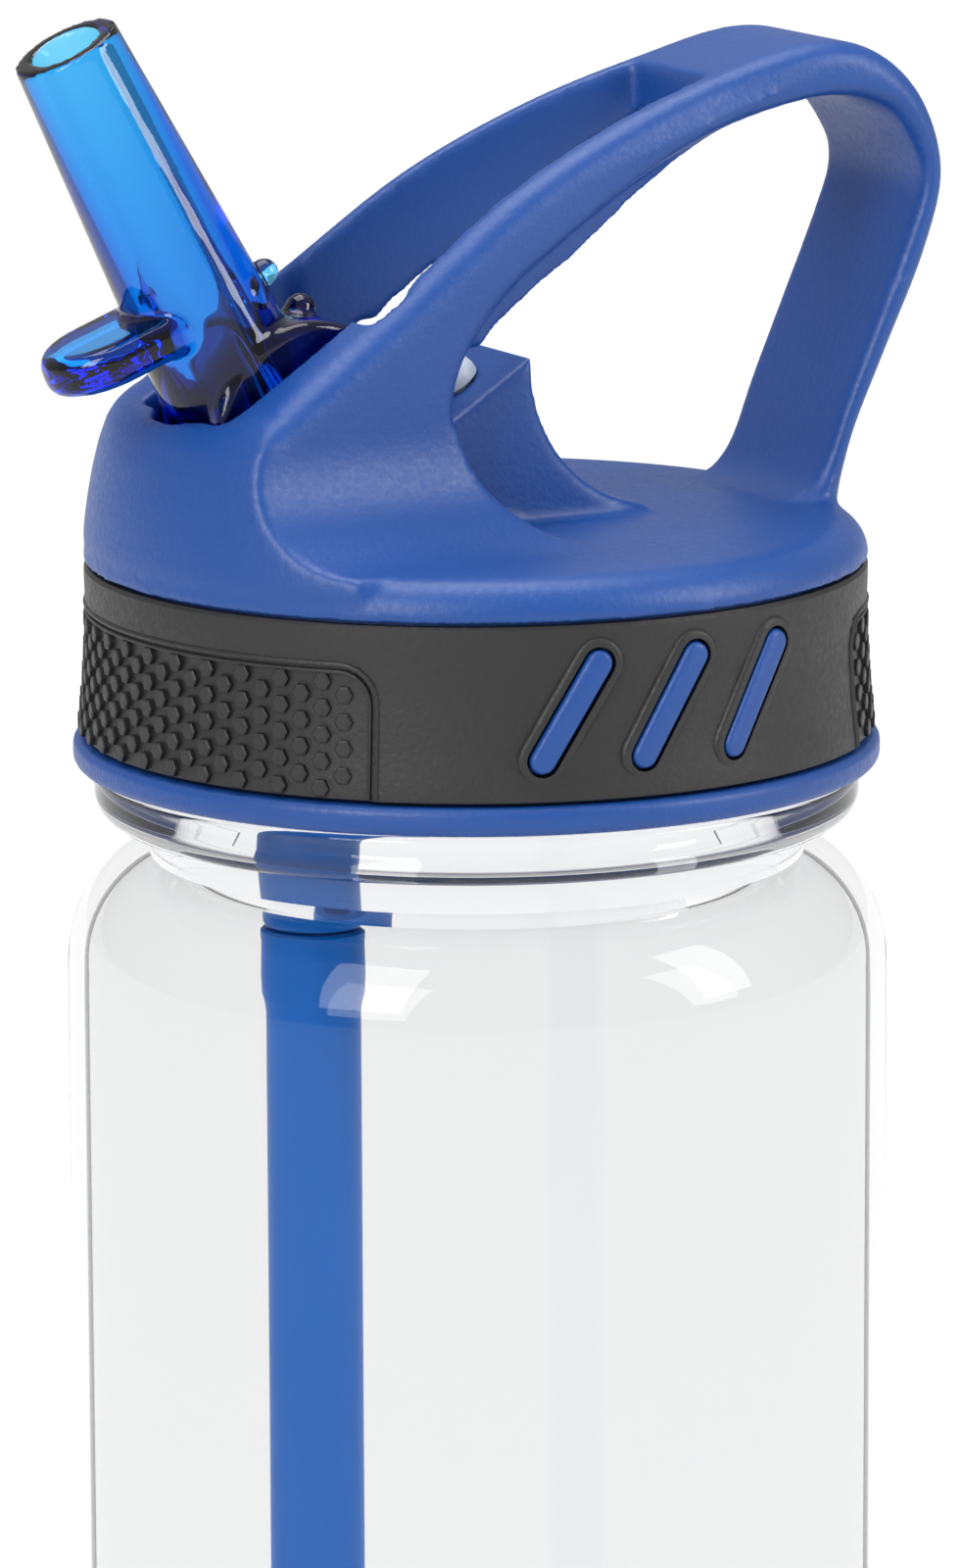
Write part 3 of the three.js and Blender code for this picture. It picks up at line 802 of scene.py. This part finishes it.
def band_radius(z):
    """Outer radius of the rubber band's smooth surface."""
    for (z0, r0), (z1, r1) in zip(BAND_PROFILE, BAND_PROFILE[1:]):
        if z <= z1 or z1 == BAND_TOP_Z:
            return r0 + (r1 - r0) * (z - z0) / (z1 - z0)


def on_band(u, z, lift):
    """Place on the band, u millimetres round from the front, at a lift over the surface."""
    angle = math.pi + u / BAND_MID_R
    radius = band_radius(z) + lift
    return Vector((radius * math.cos(angle), radius * math.sin(angle), z)) * MM


def recess_panels(band):
    """Sinks the band's skin inside both round-cornered panels."""
    skin_r = 40.3
    for vertex in band.data.vertices:
        x, y, z = vertex.co / MM
        if math.hypot(x, y) < skin_r or z > PANEL_TOP_Z - 0.1:
            continue
        u = math.atan2(abs(y), abs(x)) * BAND_MID_R
        if u > PANEL_HALF_W - 0.3:
            continue
        edge_u, edge_z = PANEL_HALF_W - u, PANEL_TOP_Z - z
        near = PANEL_CORNER
        if edge_u < near and edge_z < near:
            if math.hypot(near - edge_u, near - edge_z) > near:
                continue
        shrink = 1 - PANEL_DEPTH / math.hypot(x, y)
        vertex.co.x *= shrink
        vertex.co.y *= shrink


def border_line(name, inset, thickness, rear):
    """Raised line round a panel: up one side, over the top and down the other."""
    half = PANEL_HALF_W - inset
    top = PANEL_TOP_Z - inset
    corner = PANEL_CORNER - inset
    rows = [LINE_START_Z + i * 1.5 for i in range(7)]
    sunk = 0.08
    path = [(-half, z) for z in rows]
    path += [(-half + corner + a, top - corner + b) for a, b in arc(0, 0, corner, 180, 90, 6)]
    flat = half - corner
    path += [(-flat + 2 * flat * i / 40, top) for i in range(1, 40)]
    path += [(half - corner + a, top - corner + b) for a, b in arc(0, 0, corner, 90, 0, 6)]
    path += [(half, z) for z in reversed(rows)]
    places = []
    for u, z in path:
        place = on_band(u, z, -sunk)
        if rear:
            place.x, place.y = -place.x, -place.y
        places.append(place)
    return bead(name, places, thickness, 2)


def hex_stud():
    """One flat-topped six-sided stud, its foot a little under the XY plane."""
    depth = 0.8
    bpy.ops.object.select_all(action="DESELECT")
    bpy.ops.mesh.primitive_cylinder_add(vertices=6, radius=STUD_R * MM, depth=depth * MM)
    stud = bpy.context.object
    stud.location.z = (STUD_HEIGHT - depth / 2) * MM
    settle(stud)
    edit_faces(stud, Vector((0, 0, 1)))
    bpy.ops.mesh.inset(thickness=0.16 * MM, depth=0.1 * MM)
    bpy.ops.object.mode_set(mode="OBJECT")
    return stud


def stud_places():
    """[round, up, fade] of each stud; studs sink away towards a panel's ends."""
    side_gap, top_gap, corner_gap, first_z, fade_length = 1.6, 1.7, 1.3, 178.4, 9
    column_step = STUD_PITCH * math.sqrt(3) / 2
    columns = int((PANEL_HALF_W - side_gap) / column_step)
    places = []
    for column in range(-columns, columns + 1):
        shift = (column % 2) * STUD_PITCH / 2
        for row in range(6):
            u, z = column * column_step, first_z + shift + row * STUD_PITCH
            edge = PANEL_HALF_W - abs(u)
            if z > PANEL_TOP_Z - top_gap:
                continue
            near = PANEL_CORNER
            if edge < near and PANEL_TOP_Z - z < near:
                if math.hypot(near - edge, near - (PANEL_TOP_Z - z)) > near - corner_gap:
                    continue
            fade = min(1, 0.3 + (edge - side_gap) / fade_length)
            places.append((u, z, fade))
    return places


def grip_studs():
    pattern = hex_stud()
    group = []
    for rear in (False, True):
        for u, z, fade in stud_places():
            stud = copy_of(pattern, "grip_studs")
            foot = on_band(u, z, -PANEL_DEPTH - (1 - fade) * STUD_HEIGHT)
            out = Vector((foot.x, foot.y, 0)).normalized()
            if rear:
                foot.x, foot.y = -foot.x, -foot.y
                out = -out
            up = Vector((0, 0, 1))
            turn = Matrix((up, up.cross(out), out)).transposed()
            stud.matrix_world = Matrix.Translation(foot) @ turn.to_4x4()
            group.append(stud)
    bpy.data.objects.remove(pattern)
    studs = join(*group)
    settle(studs)
    return studs


def grip_band():
    bottom, top = BAND_BOTTOM_Z, BAND_TOP_Z
    rows = [bottom + 0.92 * i for i in range(1, 15)]
    rows += [PANEL_TOP_Z, 191.9, 192.8, 193.8]
    outer = [(band_radius(z), z) for z in rows]
    profile = [
        (BAND_INNER_R, bottom), (41.1, bottom), (41.4, bottom + 0.2), *outer,
        (40.8, top - 0.4), (40.5, top), (BAND_INNER_R, top),
    ]
    band = spun("grip_band_rubber", profile, 288, ring=True)
    recess_panels(band)
    slot_width, collar_width = RIB_WIDTH + 0.7, RIB_WIDTH + 2.6
    cutter = slab("slot", pill_outline(slot_width, RIB_LENGTH), "XZ", -44, -38)
    collar_outline = pill_outline(collar_width, RIB_LENGTH)
    swell = slab("swell", collar_outline, "XZ", -RIB_FACE_R + 0.35, -39.9)
    round_edges(swell, 0.55, 3, 50)
    combine(swell, copy_of(cutter, "inside"), "DIFFERENCE")
    for azimuth in rib_azimuths():
        combine(band, turned_copy(cutter, "slot_cut", azimuth), "DIFFERENCE")
    collars = [turned_copy(swell, "slot_collar", azimuth) for azimuth in rib_azimuths()]
    bpy.data.objects.remove(cutter)
    bpy.data.objects.remove(swell)
    hand_over(band, RUBBER, "lid", "black_rubber", "grip_band", angle=30)
    for count, collar in enumerate(collars, 1):
        collar.name = f"slot_collar_{count}"
        hand_over(collar, RUBBER, "lid", "black_rubber")
    for side, rear in (("front", False), ("rear", True)):
        lines = join(
            border_line(f"panel_border_{side}", 0.0, 0.3, rear),
            border_line("inner", 0.75, 0.22, rear),
        )
        hand_over(lines, RUBBER, "lid", "black_rubber")
    hand_over(grip_studs(), RUBBER, "lid", "black_rubber", angle=20)


# ------------------------------------------------------------------ spout, straw and seals

def thumb_tab():
    root_x, half = 9, TAB_HALF_W
    outline = [(root_x, -half), (root_x, half), *arc(half - TAB_REACH, 0, half, 90, 270, 24)]
    tab = slab("thumb_tab", outline, "XY", -TAB_THICKNESS / 2, TAB_THICKNESS / 2)
    round_edges(tab, 1.5, 4, 50)
    tab.rotation_euler = (0, -TAB_TILT, 0)
    tab.location = Vector(TAB_PLACE) * MM
    settle(tab)
    return tab


def spout():
    tube_ends = along_tube(TUBE_LENGTH - 3), along_tube(0)
    tube = rod("spout_clear", *tube_ends, TUBE_BASE_R, TUBE_TIP_R, 96)
    drum = pivot_bar("drum", DRUM_R, DRUM_HALF_W, 96)
    round_edges(drum, 0.8, 3, 50)
    pins = pivot_bar("pins", TRUNNION_R, TRUNNION_END_Y)
    knobs = [ball("knob", place, radius) for place, radius in KNOBS]
    for tool in (drum, pins, thumb_tab(), *knobs):
        combine(tube, tool, "UNION")
    bore_ends = along_tube(TUBE_LENGTH + 16), along_tube(-3)
    bore = rod("bore", *bore_ends, TUBE_BORE_R, TUBE_BORE_R)
    combine(tube, bore, "DIFFERENCE")
    soften(tube, SPOUT_VOXEL, 6)
    hand_over(tube, SPOUT_BLUE, "spout", "spout_plastic", "spout", angle=80)


def upright_ring(name, profile, x):
    ring = spun(name, profile, 72, ring=True)
    ring.location.x = x * MM
    settle(ring)
    return ring


def straw_and_adapter():
    top = STRAW_TOP_Z
    straw = upright_ring("straw_tube", [
        (STRAW_BORE_R, STRAW_END_Z + 0.3), (STRAW_BORE_R + 0.3, STRAW_END_Z),
        (STRAW_R - 0.2, STRAW_END_Z), (STRAW_R, STRAW_END_Z + 0.3),
        (STRAW_R, 60), (STRAW_R, 110),
        (STRAW_R, top - 9), (STRAW_R + 0.15, top - 8), (STRAW_R + 0.42, top - 7),
        (STRAW_R + 0.5, top - 5), (STRAW_R + 0.42, top - 1.5), (STRAW_R + 0.5, top - 0.9),
        (STRAW_R + 0.5, top - 0.3), (STRAW_R + 0.2, top), (STRAW_BORE_R, top),
    ], STRAW_X)
    hand_over(straw, STRAW_BLUE, "lid", "straw_plastic", "straw")
    foot = top - 12
    adapter = upright_ring("straw_adapter_clear", [
        (PORT_BORE_R, foot), (SPIGOT_R - 0.3, foot), (SPIGOT_R, foot + 1),
        (SPIGOT_R, top + 0.3), (ADAPTER_R - 0.3, top + 0.3), (ADAPTER_R, top + 0.7),
        (ADAPTER_R, top + 12), (ADAPTER_R - 0.25, top + 12.3), (ADAPTER_R - 0.25, top + 13),
        (ADAPTER_R, top + 13.3), (ADAPTER_R, ADAPTER_TOP_Z), (PORT_BORE_R, ADAPTER_TOP_Z),
    ], STRAW_X)
    hand_over(adapter, STRAW_BLUE, "lid", "spout_plastic", "straw_adapter")


def seals():
    low, high = MOUTH_Z + 0.3, PLATE_UNDER_Z - 0.3
    inner, outer = NECK_BORE_R + 0.2, LID_BORE_R - 0.6
    gasket = spun("cap_gasket_ring", [
        (inner, low + 0.5), (inner + 0.5, low), (outer - 0.5, low), (outer, low + 0.5),
        (outer, high - 0.5), (outer - 0.5, high), (inner + 0.5, high), (inner, high - 0.5),
    ], 144, ring=True)
    hand_over(gasket, SILICONE, "gasket", "silicone", "cap_gasket")
    seal = straw_bar("spout_seal_ring", ADAPTER_R, ADAPTER_TOP_Z + 0.3, SEAL_TOP_Z)
    combine(seal, straw_bar("passage", PORT_BORE_R, 190, 212), "DIFFERENCE")
    combine(seal, pivot_bar("seat", DRUM_R + 0.3, 20, 96), "DIFFERENCE")
    round_edges(seal, 0.2, 2, 50)
    hand_over(seal, SILICONE, "lid", "silicone", "spout_seal")
    valve = spun("vent_valve_soft", [
        (0.7, 2.2), (1.1, 2.5), (2.0, 2.2), (2.6, 1.6), (2.8, 1.0), (2.85, 0.3),
        (1.8, 0.3), (1.8, -4.6), (0.7, -5.6),
    ], 48, ring=True)
    valve.rotation_euler = (0, -math.atan(BLOCK_SLOPE), 0)
    valve.location = Vector((VENT_X, 0, slope_z(VENT_X))) * MM
    settle(valve)
    hand_over(valve, SILICONE, "lid", "silicone", "vent_valve")


bottle()
cap_top()
cap_skirt()
cap_ribs()
grip_band()
spout()
straw_and_adapter()
seals()


# ------------------------------------------------------------------ studio

def add_floor():
    bpy.ops.mesh.primitive_plane_add(size=40, location=(0, 0, 0))
    floor = bpy.context.object
    floor.name = "studio_floor"
    g = Graph("pale_floor")
    floor.data.materials.append(g.set(
        Base_Color=(0.12, 0.12, 0.12, 1),
        Roughness=0.9,
        Emission_Color=(1, 1, 1, 1),
        Emission_Strength=0.95,
    ))


def add_light(name, place, aim, size, power):
    bpy.ops.object.light_add(type="AREA", location=place)
    light = bpy.context.object
    light.name = name
    light.data.shape = "RECTANGLE"
    light.data.size, light.data.size_y = size
    light.data.energy = power
    direction = Vector(aim) - Vector(place)
    light.rotation_euler = direction.to_track_quat("-Z", "Y").to_euler()


def add_camera():
    azimuth = math.radians(28.4)
    pitch = math.radians(11.49)
    distance = 0.9287
    aim_height = 0.171
    side_step = 0.00035
    back = Vector((
        -math.sin(azimuth) * math.cos(pitch),
        -math.cos(azimuth) * math.cos(pitch),
        math.sin(pitch),
    ))
    right = Vector((math.cos(azimuth), -math.sin(azimuth), 0))
    place = Vector((0, 0, aim_height)) + back * distance + right * side_step
    camera = bpy.data.objects.new("camera", bpy.data.cameras.new("camera"))
    bpy.context.scene.collection.objects.link(camera)
    camera.data.lens = 203.8
    camera.data.sensor_width = 36
    camera.data.clip_start = 0.05
    camera.data.clip_end = 60
    roll = Matrix.Rotation(-0.004, 4, "Z")
    turn = back.to_track_quat("Z", "Y").to_matrix().to_4x4()
    camera.matrix_world = Matrix.Translation(place) @ turn @ roll
    bpy.context.scene.camera = camera


def add_world():
    world = bpy.data.worlds.new("studio")
    bpy.context.scene.world = world
    world.use_nodes = True
    background = world.node_tree.nodes["Background"]
    background.inputs["Color"].default_value = (1, 1, 1, 1)
    background.inputs["Strength"].default_value = 0.45


bpy.ops.object.select_all(action="DESELECT")
add_floor()
add_camera()
add_world()
add_light("softbox_left", (-0.9, -0.5, 0.75), (0, 0, 0.19), (0.5, 0.8), 9)
add_light("softbox_right", (0.75, -0.75, 0.7), (0, 0, 0.19), (0.35, 0.8), 7)
add_light("softbox_top", (0.0, 0.2, 1.2), (0, 0, 0.2), (0.8, 0.8), 8)
bpy.context.scene.view_settings.view_transform = "Standard"
